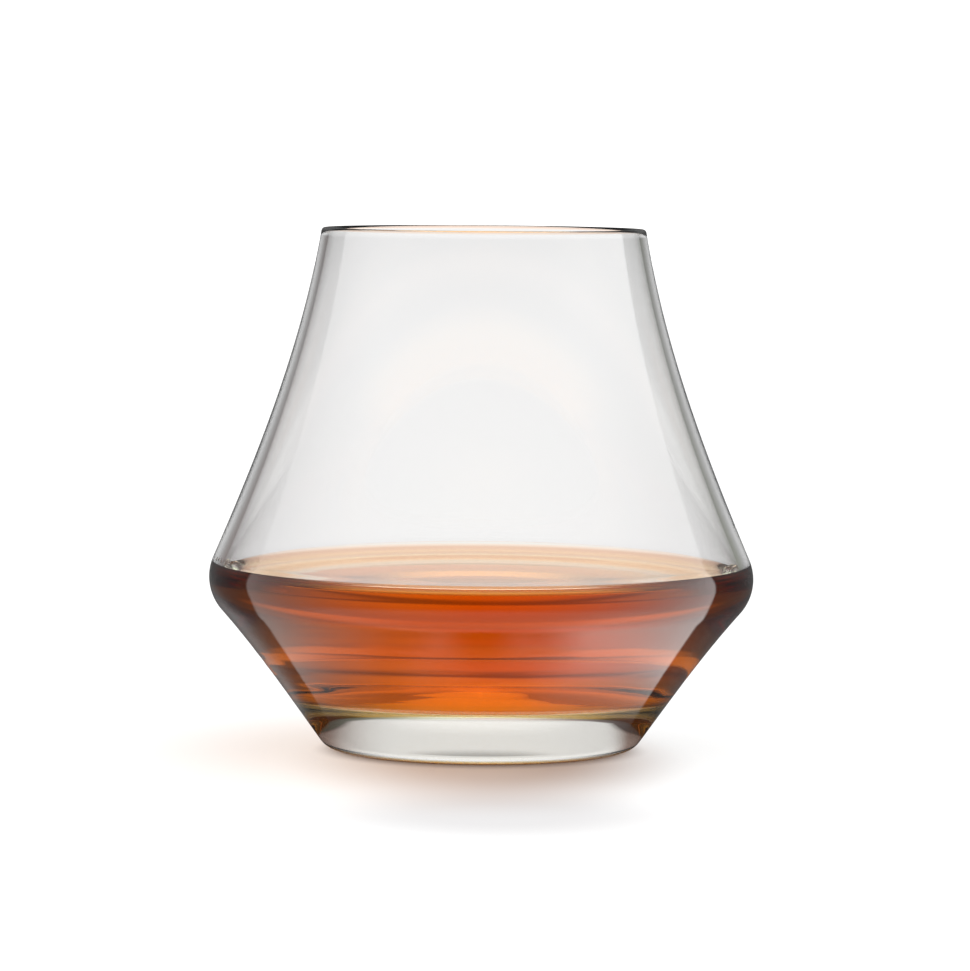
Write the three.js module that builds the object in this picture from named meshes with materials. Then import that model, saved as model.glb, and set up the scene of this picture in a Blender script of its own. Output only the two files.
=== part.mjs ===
// Whiskey tumbler: a glass blown in one piece, with a thick clear base, and the whisky that it holds.
// Millimetres, +Z up. The origin is on the axis, on the surface that the glass stands on.
// Every outline is drawn in the half plane of radius and height, and turned about the axis.
import * as THREE from "three";

// The outside of the glass. Leans are degrees from upright.
const HEIGHT = 86;
const BELLY_RADIUS = 45;
const BELLY_HEIGHT = 28.3;
const BELLY_ROUNDING = 8;
const UPPER_LEAN_AT_BELLY = 23.3;
const UPPER_LEAN_AT_RIM = 9.5;
const RIM_RADIUS = 26.8;
const LOWER_LEAN_AT_BELLY = 41.3;
const LOWER_LEAN_AT_FOOT = 35.7;
const FOOT_RADIUS = 23.9;
const FOOT_ROUNDING = 3.2;

// The thickness of the glass, which grows from the rim down to the base
const RIM_THICKNESS = 1.3;
const BELLY_THICKNESS = 2;
const BASE_THICKNESS = 9.5;
const FLOOR_RADIUS = 27.4;
const FLOOR_ROUNDING = 4;

// The underside: a flat ring to stand on, around a shallow hollow
const RING_INNER_RADIUS = 18;
const HOLLOW_DEPTH = 1.2;

// The whisky, which keeps a fine gap to the glass
const WHISKY_LEVEL = 28.3;
const WHISKY_GAP = 0.3;

// How finely curves are divided
const SEGMENTS = 64;
const CORNER_STEPS = 3;
const LOWER_WALL_STEPS = 4;
const BELLY_STEPS = 6;
const UPPER_WALL_STEPS = 7;
const LIP_STEPS = 4;
const HOLLOW_STEPS = 3;

const BELLY_CENTRE = point(BELLY_RADIUS - BELLY_ROUNDING, BELLY_HEIGHT);
const LIP_RADIUS = RIM_THICKNESS / 2;
const LIP_CENTRE = point(RIM_RADIUS - LIP_RADIUS, HEIGHT - LIP_RADIUS);

function point(radius, height) {
  return new THREE.Vector2(radius, height);
}

// An arc between two angles in degrees, which count from straight outwards towards straight up.
function arc(centre, radius, from, to, steps) {
  const start = THREE.MathUtils.degToRad(from);
  const end = THREE.MathUtils.degToRad(to);
  const curve = new THREE.EllipseCurve(centre.x, centre.y, radius, radius, start, end, to < from);
  return curve.getPoints(steps);
}

// A smooth stretch of wall from start up to end. A positive lean is outwards, a negative one inwards.
function flare(start, startLean, end, endLean, steps) {
  const pull = start.distanceTo(end) / 3;
  const leaving = point(0, pull).rotateAround(point(0, 0), -THREE.MathUtils.degToRad(startLean));
  const arriving = point(0, pull).rotateAround(point(0, 0), -THREE.MathUtils.degToRad(endLean));
  const curve = new THREE.CubicBezierCurve(
    start,
    start.clone().add(leaving),
    end.clone().sub(arriving),
    end,
  );
  return curve.getPoints(steps);
}

// Stretches that meet end to end, as one outline without the doubled points.
function joined(...stretches) {
  return stretches.flatMap((stretch, i) => (i === 0 ? stretch : stretch.slice(1)));
}

// The lower face of a wall: a rounded corner, the cone and the belly up to an angle in degrees.
function lowerFace(cornerCentre, cornerRadius, bellyRadius, bellyEnd) {
  const corner = arc(cornerCentre, cornerRadius, -90, -LOWER_LEAN_AT_FOOT, CORNER_STEPS);
  const belly = arc(BELLY_CENTRE, bellyRadius, -LOWER_LEAN_AT_BELLY, bellyEnd, BELLY_STEPS);
  const cone = flare(
    corner.at(-1),
    LOWER_LEAN_AT_FOOT,
    belly[0],
    LOWER_LEAN_AT_BELLY,
    LOWER_WALL_STEPS,
  );
  return joined(corner, cone, belly);
}

// A whole face of the wall, from its lower corner up to a point on the lip.
function wallFace(cornerCentre, cornerRadius, bellyRadius, lipPoint) {
  const lower = lowerFace(cornerCentre, cornerRadius, bellyRadius, UPPER_LEAN_AT_BELLY);
  const upper = flare(
    lower.at(-1),
    -UPPER_LEAN_AT_BELLY,
    lipPoint,
    -UPPER_LEAN_AT_RIM,
    UPPER_WALL_STEPS,
  );
  return joined(lower, upper);
}

function floorCornerCentre() {
  return point(FLOOR_RADIUS, BASE_THICKNESS + FLOOR_ROUNDING);
}

// From the middle of the underside, out and up the outside, over the lip and down the inside.
function glassOutline() {
  const hollow = new THREE.QuadraticBezierCurve(
    point(0, HOLLOW_DEPTH),
    point(RING_INNER_RADIUS / 2, HOLLOW_DEPTH),
    point(RING_INNER_RADIUS, 0),
  ).getPoints(HOLLOW_STEPS);
  const lip = arc(LIP_CENTRE, LIP_RADIUS, UPPER_LEAN_AT_RIM, UPPER_LEAN_AT_RIM + 180, LIP_STEPS);
  const footCentre = point(FOOT_RADIUS, FOOT_ROUNDING);
  const outside = wallFace(footCentre, FOOT_ROUNDING, BELLY_ROUNDING, lip[0]);
  const innerBelly = BELLY_ROUNDING - BELLY_THICKNESS;
  const inside = wallFace(floorCornerCentre(), FLOOR_ROUNDING, innerBelly, lip.at(-1));
  return [
    ...hollow,
    ...joined(outside, lip, inside.reverse()),
    point(0, BASE_THICKNESS),
  ];
}

// The same shape as the inside of the glass, a gap smaller, up to the level surface.
function whiskyOutline() {
  const belly = BELLY_ROUNDING - BELLY_THICKNESS - WHISKY_GAP;
  const rise = Math.asin((WHISKY_LEVEL - BELLY_HEIGHT) / belly);
  const flank = lowerFace(
    floorCornerCentre(),
    FLOOR_ROUNDING - WHISKY_GAP,
    belly,
    THREE.MathUtils.radToDeg(rise),
  );
  return [point(0, BASE_THICKNESS + WHISKY_GAP), ...flank, point(0, WHISKY_LEVEL)];
}

// A solid turned about the upright axis.
function turned(name, outline, material) {
  const geometry = new THREE.LatheGeometry(outline, SEGMENTS);
  geometry.rotateX(Math.PI / 2);
  const mesh = new THREE.Mesh(geometry, material);
  mesh.name = name;
  return mesh;
}

const clearGlass = new THREE.MeshStandardMaterial({
  color: 0xf4f6f6,
  roughness: 0.03,
  metalness: 0,
  transparent: true,
  opacity: 0.3,
});

const amberWhisky = new THREE.MeshStandardMaterial({
  color: 0xc8540c,
  roughness: 0.02,
  metalness: 0,
  transparent: true,
  opacity: 0.8,
});

const tumbler = new THREE.Group();
tumbler.add(turned("tumbler_glass", glassOutline(), clearGlass));
tumbler.add(turned("whisky", whiskyOutline(), amberWhisky));

export default tumbler;
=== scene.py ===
"""The looks of the whiskey tumbler: its blown glass and the whisky in it, in a bright plain studio."""
import math
import random

import bmesh
import bpy
from mathutils import Matrix, Vector, noise


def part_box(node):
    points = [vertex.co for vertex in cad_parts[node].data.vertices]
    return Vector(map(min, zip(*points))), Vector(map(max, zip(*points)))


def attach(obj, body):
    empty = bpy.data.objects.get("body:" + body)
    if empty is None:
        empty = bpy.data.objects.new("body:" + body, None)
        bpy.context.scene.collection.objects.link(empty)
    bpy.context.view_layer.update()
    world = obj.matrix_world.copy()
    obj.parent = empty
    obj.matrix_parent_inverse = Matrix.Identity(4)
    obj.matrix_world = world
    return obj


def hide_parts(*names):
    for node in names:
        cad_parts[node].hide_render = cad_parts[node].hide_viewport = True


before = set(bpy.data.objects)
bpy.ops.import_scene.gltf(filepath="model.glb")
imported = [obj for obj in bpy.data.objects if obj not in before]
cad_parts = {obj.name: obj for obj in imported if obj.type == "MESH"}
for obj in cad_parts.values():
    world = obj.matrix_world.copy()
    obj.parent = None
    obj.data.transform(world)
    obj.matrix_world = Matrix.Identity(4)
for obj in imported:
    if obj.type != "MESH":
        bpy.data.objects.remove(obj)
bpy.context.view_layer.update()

MM = 0.001

# The outside of the glass, in millimetres and degrees from upright. Its height and its belly's radius
# are the frame's.
glass_low, glass_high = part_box("tumbler_glass")
HEIGHT = glass_high.z / MM
BELLY_RADIUS = (glass_high.x - glass_low.x) / 2 / MM
BELLY_HEIGHT = 28.3
BELLY_ROUNDING = 8
UPPER_LEAN_AT_BELLY = 23.3
UPPER_LEAN_AT_RIM = 9.5
RIM_RADIUS = 26.8
LOWER_LEAN_AT_BELLY = 41.3
LOWER_LEAN_AT_FOOT = 35.7
FOOT_RADIUS = 23.9
FOOT_ROUNDING = 3.2

# The thickness of the glass
RIM_THICKNESS = 1.3
BELLY_THICKNESS = 2
BASE_THICKNESS = 9.5
FLOOR_RADIUS = 27.4
FLOOR_ROUNDING = 4

# The underside
RING_INNER_RADIUS = 18
HOLLOW_DEPTH = 1.2

# The marks that the shaping tool left: how deep they are, the heights between which they fade in and out,
# and how fast they change round the glass and up it
MARK_DEPTH = 0.05
MARKS_START = (8, 12)
MARKS_END = (25, 19)
MARKS_ROUND = 2
MARKS_PER_MM = 0.9

# The broad patches in which the marks come: where the noise for them is read, how fast it changes, and
# the levels of it between which the marks grow
PATCHES = Vector((4, 7, 0))
PATCHES_ROUND = 1.4
PATCHES_PER_MM = 0.15
PATCH_LEVELS = (-0.15, 0.35)

# The whisky. It is let into the wall by a hair, so that no film of air shows between the two.
WHISKY_LEVEL = 28.3
WETTING = 0.03

# Its surface climbs the wall. The slope falls from where it clings, in degrees, to almost level.
CAPILLARY_LENGTH = 1.8
CLING = 66
ALMOST_LEVEL = 0.5
MENISCUS_RISE = 2 * CAPILLARY_LENGTH * math.sin(math.radians(CLING + ALMOST_LEVEL) / 2)
MENISCUS_STEPS = 40

# Two clusters of bubbles: how many in each, the angles at which they start and the angle that each takes
# up, the radii, the gaps to the wall and the depths in the whisky
BUBBLES = 7
BUBBLE_ANGLES = (188, 334)
BUBBLE_SPREAD = 16
BUBBLE_RADII = (0.35, 0.7)
BUBBLE_INSETS = (0.2, 0.6)
BUBBLE_DEPTHS = (0.1, 0.3)
BUBBLE_SEED = 4

# How finely the glass and the whisky are divided, the corner in degrees that stays sharp, and the sides
# of the round things in the studio
SEGMENTS = 256
SPACING = 0.8
LEAST_ARC_STEPS = 6
SHARP = 40
STUDIO_SIDES = 64

BELLY_CENTRE = Vector((BELLY_RADIUS - BELLY_ROUNDING, BELLY_HEIGHT))
FOOT_CENTRE = Vector((FOOT_RADIUS, FOOT_ROUNDING))
FLOOR_CENTRE = Vector((FLOOR_RADIUS, BASE_THICKNESS + FLOOR_ROUNDING))


def direction(angle):
    """A unit vector in the half plane of radius and height, at degrees up from straight outwards."""
    return Vector((math.cos(math.radians(angle)), math.sin(math.radians(angle))))


def upward(lean):
    """A unit vector up a wall that leans out by this many degrees from upright."""
    return direction(90 - lean)


def arc(centre, radius, start, end, finer=1):
    """Points on an arc between two angles in degrees."""
    length = radius * math.radians(abs(end - start))
    steps = max(LEAST_ARC_STEPS, math.ceil(length * finer / SPACING))
    return [centre + radius * direction(start + (end - start) * i / steps) for i in range(steps + 1)]


def flare(start, start_lean, end, end_lean, finer=1):
    """Points on a smooth stretch of wall from start up to end."""
    length = (end - start).length
    first = start + upward(start_lean) * length / 3
    second = end - upward(end_lean) * length / 3
    steps = math.ceil(length * finer / SPACING)
    points = []
    for i in range(steps + 1):
        t = i / steps
        u = 1 - t
        points.append(u**3 * start + 3 * u * u * t * first + 3 * u * t * t * second + t**3 * end)
    return points


def straight(start, end):
    """Points on a straight stretch."""
    steps = math.ceil((end - start).length / SPACING)
    return [start.lerp(end, i / steps) for i in range(steps + 1)]


def joined(*stretches):
    """Stretches that meet end to end, as one outline without the doubled points."""
    outline = list(stretches[0])
    for stretch in stretches[1:]:
        outline += stretch[1:]
    return outline


def lower_face(corner_centre, corner_radius, belly_radius, belly_end, finer=1):
    """The lower face of a wall: a rounded corner, the cone, and the belly up to an angle."""
    corner = arc(corner_centre, corner_radius, -90, -LOWER_LEAN_AT_FOOT, finer=2)
    belly = arc(BELLY_CENTRE, belly_radius, -LOWER_LEAN_AT_BELLY, belly_end, finer=2)
    cone = flare(corner[-1], LOWER_LEAN_AT_FOOT, belly[0], LOWER_LEAN_AT_BELLY, finer)
    return joined(corner, cone, belly)


def wall_face(corner_centre, corner_radius, belly_radius, lip_point, finer=1):
    """A whole face of the wall, from its lower corner up to a point on the lip."""
    lower = lower_face(corner_centre, corner_radius, belly_radius, UPPER_LEAN_AT_BELLY, finer)
    upper = flare(lower[-1], -UPPER_LEAN_AT_BELLY, lip_point, -UPPER_LEAN_AT_RIM)
    return joined(lower, upper)


def underside():
    """The shallow hollow under the glass, from the axis to the flat ring."""
    steps = math.ceil(RING_INNER_RADIUS / SPACING)
    points = []
    for i in range(steps + 1):
        share = i / steps
        points.append(Vector((RING_INNER_RADIUS * share, HOLLOW_DEPTH * (1 - share * share) ** 2)))
    return points


def glass_outline():
    """From the middle of the underside, out and up the outside, over the lip and down the inside."""
    lip_radius = RIM_THICKNESS / 2
    lip_centre = Vector((RIM_RADIUS - lip_radius, HEIGHT - lip_radius))
    lip = arc(lip_centre, lip_radius, UPPER_LEAN_AT_RIM, UPPER_LEAN_AT_RIM + 180, finer=4)
    outside = wall_face(FOOT_CENTRE, FOOT_ROUNDING, BELLY_ROUNDING, lip[0], finer=2)
    inside = wall_face(FLOOR_CENTRE, FLOOR_ROUNDING, BELLY_ROUNDING - BELLY_THICKNESS, lip[-1])
    ring = straight(Vector((RING_INNER_RADIUS, 0)), outside[0])
    floor = straight(inside[0], Vector((0, BASE_THICKNESS)))
    return joined(underside(), ring, outside, lip, inside[::-1], floor)


def meniscus(edge):
    """Points in along the surface from where it clings to the glass, shaped as a liquid is at a wall."""
    points = []
    for i in range(MENISCUS_STEPS + 1):
        slope = math.radians(CLING * (1 - i / MENISCUS_STEPS) ** 2 + ALMOST_LEVEL)
        out = CAPILLARY_LENGTH * (math.log(math.tan(slope / 4)) + 2 * math.cos(slope / 2))
        up = 2 * CAPILLARY_LENGTH * math.sin(slope / 2)
        points.append(Vector((out, WHISKY_LEVEL + up)))
    shift = Vector((edge - points[0].x, 0))
    return [point + shift for point in points]


def whisky_outline():
    """The inside of the glass up to where the whisky climbs it, then the surface in to the axis."""
    belly = BELLY_ROUNDING - BELLY_THICKNESS + WETTING
    contact = math.asin((WHISKY_LEVEL + MENISCUS_RISE - BELLY_HEIGHT) / belly)
    flank = lower_face(FLOOR_CENTRE, FLOOR_ROUNDING + WETTING, belly, math.degrees(contact))
    bottom = straight(Vector((0, BASE_THICKNESS - WETTING)), flank[0])
    surface = meniscus(flank[-1].x)
    level = straight(surface[-1], Vector((0, WHISKY_LEVEL)))
    return joined(bottom, flank, surface, level)


def circle(radius, height, count):
    """Points evenly round the upright axis."""
    angles = [math.tau * i / count for i in range(count)]
    return [(radius * math.cos(angle), radius * math.sin(angle), height) for angle in angles]


def placed(name, mesh, made):
    """A new object in the scene, with its material."""
    mesh.materials.append(made)
    obj = bpy.data.objects.new(name, mesh)
    bpy.context.scene.collection.objects.link(obj)
    return obj


def turned(name, outline, made):
    """A closed solid turned about the upright axis. The outline starts and ends on the axis."""
    rings = outline[1:-1]
    verts = [(0, 0, outline[0].y * MM)]
    for point in rings:
        verts += circle(point.x * MM, point.y * MM, SEGMENTS)
    verts.append((0, 0, outline[-1].y * MM))
    faces = []
    last = len(verts) - 1
    top_ring = 1 + (len(rings) - 1) * SEGMENTS
    for i in range(SEGMENTS):
        j = (i + 1) % SEGMENTS
        faces.append((0, 1 + j, 1 + i))
        for k in range(len(rings) - 1):
            base = 1 + k * SEGMENTS
            faces.append((base + i, base + j, base + SEGMENTS + j, base + SEGMENTS + i))
        faces.append((last, top_ring + i, top_ring + j))
    mesh = bpy.data.meshes.new(name)
    mesh.from_pydata(verts, [], faces)
    mesh.shade_smooth()
    mesh.set_sharp_from_angle(angle=math.radians(SHARP))
    return placed(name, mesh, made)


def smooth_rise(value, low, high):
    """From nothing at low to one at high, without a corner."""
    share = min(1, max(0, (value - low) / (high - low)))
    return share * share * (3 - 2 * share)


def mark_depth(angle, height):
    """How far the tool marks raise the outside at a point of the lower wall."""
    unit = Vector((math.cos(angle), math.sin(angle), 0))
    up = Vector((0, 0, height))
    fine = noise.noise(unit * MARKS_ROUND + up * MARKS_PER_MM)
    broad = noise.noise(unit * PATCHES_ROUND + up * PATCHES_PER_MM + PATCHES)
    ends = smooth_rise(height, *MARKS_START) * smooth_rise(height, *MARKS_END)
    return MARK_DEPTH * fine * smooth_rise(broad, *PATCH_LEVELS) * ends


def press_marks(glass):
    """Press the tool marks into the outside of the lower wall."""
    slope = math.tan(math.radians((LOWER_LEAN_AT_FOOT + LOWER_LEAN_AT_BELLY) / 2))
    for vert in glass.data.vertices:
        radius = math.hypot(vert.co.x, vert.co.y) / MM
        height = vert.co.z / MM
        middle_of_wall = FOOT_RADIUS + FOOT_ROUNDING / 2 + height * slope - BELLY_THICKNESS / 2
        if height < BELLY_HEIGHT and radius > middle_of_wall:
            angle = math.atan2(vert.co.y, vert.co.x)
            swell = 1 + mark_depth(angle, height) / radius
            vert.co.x *= swell
            vert.co.y *= swell


# The materials
WHITE = (1, 1, 1, 1)
BLACK = (0, 0, 0, 1)
GLASS_IOR = 1.52
WORN_ROUGHNESS = 0.3
WHISKY_IOR = 1.36
WHISKY_TINT = (0.935, 0.66, 0, 1)
WHISKY_DENSITY = 90
FILM_IOR = 1.4


def new_material(name):
    """A new material with its node tree, which has a shader and an output."""
    made = bpy.data.materials.new(name)
    made.use_nodes = True
    return made, made.node_tree


def bare_material(name):
    """A new material with its node tree, emptied, and a new output."""
    made, tree = new_material(name)
    tree.nodes.clear()
    return made, tree, tree.nodes.new("ShaderNodeOutputMaterial")


def see_through(name, ior, roughness=0):
    """A material that light passes through, with its shader."""
    made, tree = new_material(name)
    shader = tree.nodes["Principled BSDF"]
    shader.inputs["Base Color"].default_value = WHITE
    shader.inputs["Roughness"].default_value = roughness
    shader.inputs["IOR"].default_value = ior
    shader.inputs["Transmission Weight"].default_value = 1
    return made, shader


def clear_glass():
    """Glass against air."""
    made, _ = see_through("clear_glass", GLASS_IOR)
    return made


def wet_glass():
    """Glass against whisky, where almost nothing is mirrored."""
    made, shader = see_through("wet_glass", GLASS_IOR)
    shader.inputs["Specular Tint"].default_value = BLACK
    return made


def worn_glass():
    """The underside, satined by standing on tables."""
    made, _ = see_through("worn_glass", GLASS_IOR, WORN_ROUGHNESS)
    return made


def amber_whisky():
    """Whisky, which takes the blue and some of the green out of the light on its way through."""
    made, shader = see_through("amber_whisky", WHISKY_IOR)
    shader.inputs["Specular Tint"].default_value = BLACK
    tree = made.node_tree
    absorb = tree.nodes.new("ShaderNodeVolumeAbsorption")
    absorb.inputs["Color"].default_value = WHISKY_TINT
    absorb.inputs["Density"].default_value = WHISKY_DENSITY
    tree.links.new(absorb.outputs[0], tree.nodes["Material Output"].inputs["Volume"])
    return made


def bubble_film():
    """The thin skin of a bubble."""
    made, _ = see_through("bubble_film", FILM_IOR)
    return made


# How a face of the glass is known to be inside the bowl or under the foot, and which material it takes
FACES_UP = 0.9
FACES_DOWN = -0.72
HAIR = 0.01
WET = 1
WORN = 2


def sort_faces(glass):
    """Give the faces against the whisky, and the ones under the foot, their own materials."""
    for face in glass.data.polygons:
        height = face.center.z / MM
        outwards = Vector((face.center.x, face.center.y, 0)).dot(face.normal)
        inside = outwards < 0 or face.normal.z > FACES_UP
        if inside and BASE_THICKNESS - HAIR < height < WHISKY_LEVEL + MENISCUS_RISE:
            face.material_index = WET
        if height < HOLLOW_DEPTH + HAIR and face.normal.z < FACES_DOWN:
            face.material_index = WORN


def add_glass():
    """The blown glass."""
    glass = turned("tumbler", glass_outline(), clear_glass())
    glass.data.materials.append(wet_glass())
    glass.data.materials.append(worn_glass())
    press_marks(glass)
    sort_faces(glass)
    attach(glass, "tumbler")
    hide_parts("tumbler_glass")


def add_whisky():
    """The whisky, which clings to the glass."""
    whisky = turned("whisky_pour", whisky_outline(), amber_whisky())
    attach(whisky, "whisky")
    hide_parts("whisky")


def add_bubbles():
    """Small bubbles that the pour left in two clusters where the surface meets the glass."""
    cluster = bmesh.new()
    chance = random.Random(BUBBLE_SEED)
    for i in range(2 * BUBBLES):
        size = chance.uniform(*BUBBLE_RADII)
        angle = math.radians(BUBBLE_ANGLES[i % 2] + chance.uniform(0, BUBBLE_SPREAD))
        radius = BELLY_RADIUS - BELLY_THICKNESS - size - chance.uniform(*BUBBLE_INSETS)
        height = WHISKY_LEVEL + MENISCUS_RISE + size - chance.uniform(*BUBBLE_DEPTHS)
        centre = Vector((radius * math.cos(angle), radius * math.sin(angle), height)) * MM
        place = Matrix.Translation(centre)
        bmesh.ops.create_icosphere(cluster, subdivisions=3, radius=size * MM, matrix=place)
    mesh = bpy.data.meshes.new("bubbles")
    cluster.to_mesh(mesh)
    cluster.free()
    mesh.shade_smooth()
    bubbles = placed("bubbles", mesh, bubble_film())
    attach(bubbles, "whisky")


# The camera, in metres and degrees. Its lens is the focal length over the width of the sensor.
CAMERA_DISTANCE = 0.8785
CAMERA_HEIGHT = 0.1029
CAMERA_SIDE = 0.0005
CAMERA_PITCH = 3.87
CAMERA_ROLL = 0.46
CAMERA_LENS = 5.4845

# The ground of the studio, and the colours of the painted shadows and the painted warm glow on it
GROUND_REACH = 3
GROUND_GREY = (0.25, 0.25, 0.25, 1)
GROUND_ROUGHNESS = 0.9
GROUND_GLOW = 0.8
# A wide painted shadow that trails in front of the glass
PAINTED_SHADOW_TAIL = (0.68, 0.665, 0.67, 1)
BROWN_SHADE = (0.32, 0.2, 0.15, 1)
WARM_GLOW = (0.95, 0.66, 0.48, 1)
WARM_GLOW_SHARE = 0.4
CONTACT_SHADE = (0.1, 0.04, 0.02, 1)

# A sheet of painted shade under the foot, seen only in the glass's reflections: its reach in metres, and
# its drop in millimetres
FOOT_SHADE_REACH = 0.06
FOOT_SHADE_DROP = 0.1
FOOT_SHADE_GREY = (0.02, 0.02, 0.02, 1)

# The bright table behind the foot: an upright band round the glass, in millimetres, its colours, and how
# much brighter it is low down and darker at its top
BAND_RADIUS = 120
BAND_HEIGHT = 18.8
BAND_SIDES = (0.28, 0.205, 0.175, 1)
BAND_MIDDLE = (0.79, 0.78, 0.745, 1)
BAND_LOW_GAIN = 0.22
BAND_TOP_LOSS = 0.45

# The backdrop: its radius in metres, its brightness, what is taken from that or added, and the least light
BACKDROP_RADIUS = 3.2
BACKDROP_GLOW = 0.93
HORIZON_LOSS = 0.2
EDGE_LOSS = 0.6
TOP_LOSS = 0.5
ABOVE_GAIN = 0.85
ABOVE_SIDE_LOSS = 0.45
UNDER_GAIN = 0.8
BACKDROP_LEAST = 0.08

# The colours of the backdrop
WARM_TABLE = (1.02, 0.88, 0.78, 1)
# Warmer light on the table close to the foot
WARM_TABLE_LIGHT = (0.9, 0.63, 0.5, 1)
ROSE_HORIZON = (1.05, 0.87, 0.82, 1)
GOLDEN_HORIZON = (1.12, 1.16, 0.95, 1)
GOLDEN_TOP = (1.12, 1.16, 0.88, 1)

# The mirrored room: its radius in metres, how bright its lights are and the least light, and the clearing
# in degrees behind the glass, where the lights on the right and on the left don't reach
ROOM_RADIUS = 3.1
RIGHT_LIGHT = 2.7
LEFT_LIGHT = 1.2
STRIP_LIGHT = 0.3
BEHIND_LIGHT = 0.1
FRONT_LIGHT = 0.6
FLANK_LIGHT = 0.25
ROOM_LEAST = 0.02
CLEARING_HALF_WIDTH = 64.5
CLEARING_HALF_HEIGHT = 40
CLEARING_MIDDLE = 5
CLEARING_SQUARENESS = 3.5

WORLD_STRENGTH = 1.4


def maths(tree, operation, *values):
    """The result of one Math node."""
    node = tree.nodes.new("ShaderNodeMath")
    node.operation = operation
    for socket, value in zip(node.inputs, values):
        if isinstance(value, (int, float)):
            socket.default_value = value
        else:
            tree.links.new(value, socket)
    return node.outputs[0]


def product(tree, *values):
    """All the values multiplied."""
    result = values[0]
    for value in values[1:]:
        result = maths(tree, "MULTIPLY", result, value)
    return result


def total(tree, *values):
    """All the values added up."""
    result = values[0]
    for value in values[1:]:
        result = maths(tree, "ADD", result, value)
    return result


def rise(tree, value, start, end):
    """From nothing at start to one at end, without a corner."""
    node = tree.nodes.new("ShaderNodeMapRange")
    node.interpolation_type = "SMOOTHSTEP"
    node.inputs["From Min"].default_value = start
    node.inputs["From Max"].default_value = end
    tree.links.new(value, node.inputs["Value"])
    return node.outputs[0]


def hill(tree, offset, power):
    """A smooth hill of height one about nothing. A high power makes it flat with steep sides."""
    steep = maths(tree, "POWER", maths(tree, "ABSOLUTE", offset), power)
    return maths(tree, "EXPONENT", product(tree, steep, -0.5))


def bump(tree, value, centre, width):
    """A smooth hill of height one in a value, with its top at centre."""
    offset = maths(tree, "DIVIDE", maths(tree, "SUBTRACT", value, centre), width)
    return hill(tree, offset, power=2)


def plateau(tree, value, width):
    """A flat hill of height one about nothing, with steep sides."""
    return hill(tree, maths(tree, "DIVIDE", value, width), power=4)


def mixed(tree, share, first, second):
    """A share of the second colour in the first."""
    node = tree.nodes.new("ShaderNodeMix")
    node.data_type = "RGBA"
    tree.links.new(share, node.inputs["Factor"])
    for socket, colour in zip(node.inputs[6:8], (first, second)):
        if isinstance(colour, tuple):
            socket.default_value = colour
        else:
            tree.links.new(colour, socket)
    return node.outputs[2]


def object_position(tree):
    """The x, y and z of a point in the object's own space."""
    coords = tree.nodes.new("ShaderNodeTexCoord")
    split = tree.nodes.new("ShaderNodeSeparateXYZ")
    tree.links.new(coords.outputs["Object"], split.inputs[0])
    return split.outputs


def azimuth_of(tree, x, y):
    """Degrees round from straight behind the glass, growing to the right."""
    return maths(tree, "DEGREES", maths(tree, "ARCTAN2", x, y))


def patch(tree, x, y, centre, stretch, start, full):
    """A soft oval on the floor. Its centre is in millimetres, and its reach across in foot radii."""
    across = maths(tree, "DIVIDE", maths(tree, "SUBTRACT", x, centre[0] * MM), FOOT_RADIUS * MM)
    along = maths(tree, "DIVIDE", maths(tree, "SUBTRACT", y, centre[1] * MM), FOOT_RADIUS * MM * stretch)
    square = total(tree, product(tree, across, across), product(tree, along, along))
    return rise(tree, maths(tree, "SQRT", square), start, full)


def glowing(name):
    """A material that only gives light, with its node tree and its light."""
    made, tree, output = bare_material(name)
    light = tree.nodes.new("ShaderNodeEmission")
    tree.links.new(light.outputs[0], output.inputs["Surface"])
    return made, tree, light


def hide_from_camera(obj):
    """Leave an object to the light that the glass mirrors or lets through."""
    obj.visible_camera = False
    obj.visible_diffuse = False
    obj.visible_shadow = False


def disc(name, reach):
    """A flat round mesh."""
    mesh = bpy.data.meshes.new(name)
    mesh.from_pydata(circle(reach, 0, STUDIO_SIDES), [], [tuple(range(STUDIO_SIDES))])
    return mesh


def add_camera():
    """The camera, in front of the glass and a little above it."""
    data = bpy.data.cameras.new("camera")
    data.lens = data.sensor_width * CAMERA_LENS
    camera = bpy.data.objects.new("camera", data)
    camera.location = (CAMERA_SIDE, -CAMERA_DISTANCE, CAMERA_HEIGHT)
    aim = Matrix.Rotation(math.radians(90 - CAMERA_PITCH), 4, "X")
    roll = Matrix.Rotation(math.radians(CAMERA_ROLL), 4, "Z")
    camera.matrix_world = Matrix.Translation(camera.location) @ aim @ roll
    bpy.context.scene.collection.objects.link(camera)
    bpy.context.scene.camera = camera
    return camera


def light_through_glass(tree):
    """The floor's painted light and shade: white, with painted shadows round the foot and a painted warm
    glow.
    """
    x, y, _ = object_position(tree)
    # Painted shade: a wide shadow tail, a brown shadow and a contact shadow. Painted light: a warm glow.
    shadow_tail = patch(tree, x, y, centre=(3, -86), stretch=1.1, start=1.5, full=0.4)
    shade = patch(tree, x, y, centre=(2, -24), stretch=2, start=1.5, full=0.35)
    glow = patch(tree, x, y, centre=(-20, -10), stretch=1.8, start=2.2, full=0.4)
    contact = patch(tree, x, y, centre=(0, -4), stretch=1, start=1.18, full=0.85)
    colour = mixed(tree, shadow_tail, WHITE, PAINTED_SHADOW_TAIL)
    colour = mixed(tree, shade, colour, BROWN_SHADE)
    colour = mixed(tree, product(tree, glow, WARM_GLOW_SHARE), colour, WARM_GLOW)
    return mixed(tree, contact, colour, CONTACT_SHADE)


def floor_material():
    """A matt grey that glows by itself; its glow carries the painted shade and light."""
    made, tree = new_material("floor")
    shader = tree.nodes["Principled BSDF"]
    shader.inputs["Base Color"].default_value = GROUND_GREY
    shader.inputs["Roughness"].default_value = GROUND_ROUGHNESS
    shader.inputs["Specular IOR Level"].default_value = 0
    shader.inputs["Emission Strength"].default_value = GROUND_GLOW
    tree.links.new(light_through_glass(tree), shader.inputs["Emission Color"])
    return made


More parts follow.
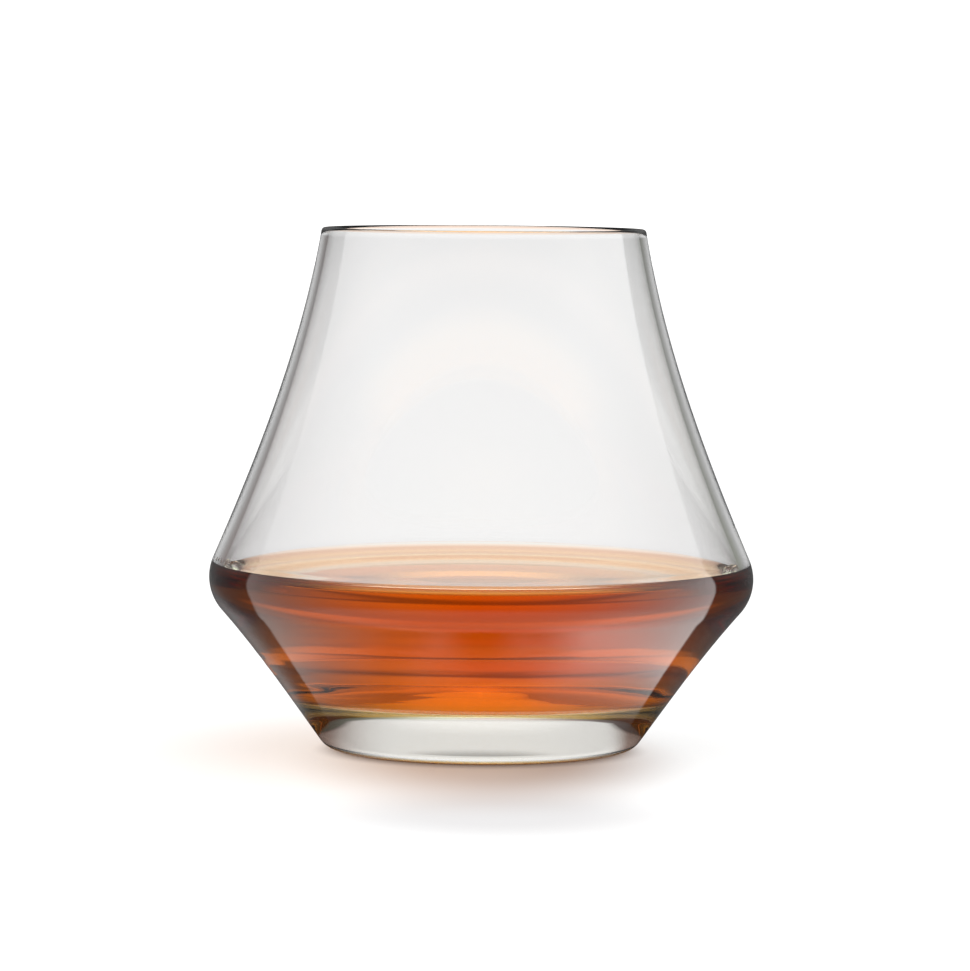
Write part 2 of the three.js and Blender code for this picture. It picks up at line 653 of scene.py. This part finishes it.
def add_floor():
    """The pale ground, which the glass shades only lightly, with painted shadows. The glass doesn't see it.
    """
    floor = placed("floor", disc("floor", GROUND_REACH), floor_material())
    floor.visible_glossy = False
    floor.visible_transmission = False


def foot_shade_material():
    """Painted shade: dark under the foot, and fading to nothing round it."""
    made, tree, output = bare_material("foot_shade")
    clear = tree.nodes.new("ShaderNodeBsdfTransparent")
    dark = tree.nodes.new("ShaderNodeBsdfDiffuse")
    dark.inputs["Color"].default_value = FOOT_SHADE_GREY
    mix = tree.nodes.new("ShaderNodeMixShader")
    x, y, _ = object_position(tree)
    tree.links.new(patch(tree, x, y, centre=(0, 0), stretch=1, start=1.9, full=1.25), mix.inputs[0])
    tree.links.new(clear.outputs[0], mix.inputs[1])
    tree.links.new(dark.outputs[0], mix.inputs[2])
    tree.links.new(mix.outputs[0], output.inputs["Surface"])
    return made


def add_foot_shade():
    """A sheet of painted shade close round the foot, seen only in the reflections on the lower cone."""
    shade = placed("foot_shade", disc("foot_shade", FOOT_SHADE_REACH), foot_shade_material())
    shade.location.z = -FOOT_SHADE_DROP * MM
    hide_from_camera(shade)
    shade.visible_transmission = False


def table_glow_material():
    """Bright in the middle and dark to the sides, a little brighter low down and darker at the top."""
    made, tree, light = glowing("table_glow")
    x, y, z = object_position(tree)
    azimuth = azimuth_of(tree, x, y)
    right = rise(tree, azimuth, start=42, end=12)
    left = rise(tree, azimuth, start=-38, end=-24)
    colour = mixed(tree, product(tree, right, left), BAND_SIDES, BAND_MIDDLE)
    tree.links.new(colour, light.inputs["Color"])
    low = product(tree, rise(tree, z, start=15 * MM, end=12 * MM), BAND_LOW_GAIN)
    top = product(tree, rise(tree, z, start=17 * MM, end=18.6 * MM), BAND_TOP_LOSS)
    tree.links.new(maths(tree, "SUBTRACT", total(tree, low, 1), top), light.inputs["Strength"])
    return made


def band():
    """The mesh of an upright band round the glass, standing on the floor."""
    verts = circle(BAND_RADIUS * MM, 0, STUDIO_SIDES)
    verts += circle(BAND_RADIUS * MM, BAND_HEIGHT * MM, STUDIO_SIDES)
    faces = []
    for i in range(STUDIO_SIDES):
        j = (i + 1) % STUDIO_SIDES
        faces.append((i, j, STUDIO_SIDES + j, STUDIO_SIDES + i))
    mesh = bpy.data.meshes.new("table_glow")
    mesh.from_pydata(verts, [], faces)
    return mesh


def add_table_glow(camera):
    """The bright table behind the foot, as it is seen through the base. It stays facing the camera."""
    glow = placed("table_glow", band(), table_glow_material())
    hide_from_camera(glow)
    glow.visible_glossy = False
    facing = glow.constraints.new("LOCKED_TRACK")
    facing.target = camera
    facing.track_axis = "TRACK_NEGATIVE_Y"
    facing.lock_axis = "LOCK_Z"


# In all that follows the azimuth counts in degrees from straight behind the glass, growing to the right,
# and the elevation in degrees up from level.


def backdrop_light(tree, azimuth, elevation):
    """What is seen through the glass: a glow behind it, a bright table under it, and a bright top."""
    table = rise(tree, elevation, start=4, end=0)
    glow = bump(tree, azimuth, centre=0, width=16)
    wide = plateau(tree, azimuth, width=27)
    above_table = product(tree, glow, maths(tree, "SUBTRACT", 1, table))
    across = total(tree, above_table, product(tree, wide, table))
    horizon = product(tree, bump(tree, elevation, centre=4, width=3), HORIZON_LOSS)
    edge = product(tree, bump(tree, elevation, centre=15.8, width=1.3), EDGE_LOSS)
    top = product(tree, rise(tree, elevation, start=40, end=65), TOP_LOSS)
    column = maths(tree, "SUBTRACT", BACKDROP_GLOW, total(tree, horizon, edge, top))
    side = rise(tree, maths(tree, "ABSOLUTE", azimuth), start=40, end=75)
    aside = maths(tree, "SUBTRACT", 1, product(tree, side, ABOVE_SIDE_LOSS))
    above = product(tree, rise(tree, elevation, start=25, end=50), aside, ABOVE_GAIN)
    under = product(tree, rise(tree, elevation, start=-50, end=-58), UNDER_GAIN)
    return total(tree, product(tree, across, column), above, under, BACKDROP_LEAST)


def backdrop_colour(tree, azimuth, elevation):
    """Warm where the glass looks down at the table, warmer light closer to the foot, rose and golden at the
    horizon, and golden above.
    """
    table = mixed(tree, rise(tree, elevation, start=-9, end=-13), WHITE, WARM_TABLE)
    near = rise(tree, elevation, start=-52, end=-42)
    # Warmer light on the table seen close to the foot
    warm_light_share = product(tree, rise(tree, elevation, start=-21, end=-27), near)
    warm_lit_table = mixed(tree, warm_light_share, table, WARM_TABLE_LIGHT)
    horizon = mixed(tree, rise(tree, azimuth, start=-1, end=9), ROSE_HORIZON, GOLDEN_HORIZON)
    lifted = mixed(tree, rise(tree, elevation, start=2, end=7), warm_lit_table, horizon)
    return mixed(tree, rise(tree, elevation, start=15, end=24), lifted, GOLDEN_TOP)


def outside_clearing(tree, side, elevation):
    """One all round, and nothing in a rounded rectangle of directions behind the glass."""
    lift = maths(tree, "ABSOLUTE", maths(tree, "SUBTRACT", elevation, CLEARING_MIDDLE))
    shares = []
    for value, reach in ((side, CLEARING_HALF_WIDTH), (lift, CLEARING_HALF_HEIGHT)):
        share = maths(tree, "DIVIDE", value, reach)
        shares.append(maths(tree, "POWER", share, CLEARING_SQUARENESS))
    return rise(tree, total(tree, *shares), start=0.92, end=1.08)


def room_light(tree, azimuth, elevation):
    """What is mirrored on the glass: strong light on the right, weak light on the left, and dark behind."""
    side = maths(tree, "ABSOLUTE", azimuth)
    right_fade = rise(tree, elevation, start=-81, end=-62)
    right = product(tree, bump(tree, azimuth, centre=65, width=38), right_fade, RIGHT_LIGHT)
    left_fade = rise(tree, elevation, start=-82, end=-32)
    left = product(tree, bump(tree, azimuth, centre=-65, width=35), left_fade, LEFT_LIGHT)
    lamps = product(
        tree,
        total(tree, right, left),
        outside_clearing(tree, side, elevation),
        rise(tree, elevation, start=35, end=5),
    )
    ceiling = product(tree, rise(tree, elevation, start=5, end=20), rise(tree, side, start=60, end=120))
    strip_height = bump(tree, elevation, centre=15, width=5)
    strips = product(tree, strip_height, bump(tree, side, centre=38, width=20), STRIP_LIGHT)
    above_floor = rise(tree, elevation, start=-60, end=-30)
    behind = product(tree, rise(tree, side, start=90, end=60), above_floor, BEHIND_LIGHT)
    front_top = rise(tree, elevation, start=-22, end=-34)
    front_bottom = rise(tree, elevation, start=-86, end=-78)
    front = product(tree, rise(tree, side, start=80, end=110), front_top, front_bottom, FRONT_LIGHT)
    flank_height = bump(tree, elevation, centre=-19, width=7)
    flank = product(tree, bump(tree, azimuth, centre=-20, width=9), flank_height, FLANK_LIGHT)
    return total(tree, lamps, ceiling, strips, behind, front, flank, ROOM_LEAST)


def dome(name, camera, radius, brightness, tint=None):
    """A shell of light round the glass that turns with the camera. Its light depends on the direction."""
    made, tree, light = glowing(name)
    x, y, z = object_position(tree)
    azimuth = azimuth_of(tree, x, y)
    elevation = maths(tree, "DEGREES", maths(tree, "ARCSINE", maths(tree, "DIVIDE", z, radius)))
    tree.links.new(brightness(tree, azimuth, elevation), light.inputs["Strength"])
    if tint:
        tree.links.new(tint(tree, azimuth, elevation), light.inputs["Color"])
    mesh = bpy.data.meshes.new(name)
    ball = bmesh.new()
    bmesh.ops.create_icosphere(ball, subdivisions=5, radius=radius)
    ball.to_mesh(mesh)
    ball.free()
    shell = placed(name, mesh, made)
    hide_from_camera(shell)
    shell.parent = camera
    shell.matrix_parent_inverse = camera.matrix_world.inverted()
    return shell


def add_glass_light(camera):
    """The light that only the glass sees: one shell shines through it, and one is mirrored on it."""
    through = dome("backdrop_light", camera, BACKDROP_RADIUS, backdrop_light, backdrop_colour)
    through.visible_glossy = False
    mirrored = dome("reflected_light", camera, ROOM_RADIUS, room_light)
    mirrored.visible_transmission = False


def add_world():
    """An even white world. It lights the floor and is seen past it, but the glass doesn't see it."""
    world = bpy.data.worlds.new("studio")
    bpy.context.scene.world = world
    world.use_nodes = True
    back = world.node_tree.nodes["Background"]
    back.inputs["Color"].default_value = WHITE
    back.inputs["Strength"].default_value = WORLD_STRENGTH
    world.cycles_visibility.glossy = False
    world.cycles_visibility.transmission = False


def set_up_render():
    """Colours as they are, and enough bounces for light that is trapped in the glass."""
    scene = bpy.context.scene
    scene.view_settings.view_transform = "Standard"
    scene.cycles.max_bounces = 32
    scene.cycles.transmission_bounces = 32
    scene.cycles.glossy_bounces = 16
    scene.cycles.transparent_max_bounces = 16
    scene.cycles.use_denoising = True


add_glass()
add_whisky()
add_bubbles()

camera = add_camera()
add_floor()
add_foot_shade()
add_table_glow(camera)
add_glass_light(camera)
add_world()
set_up_render()
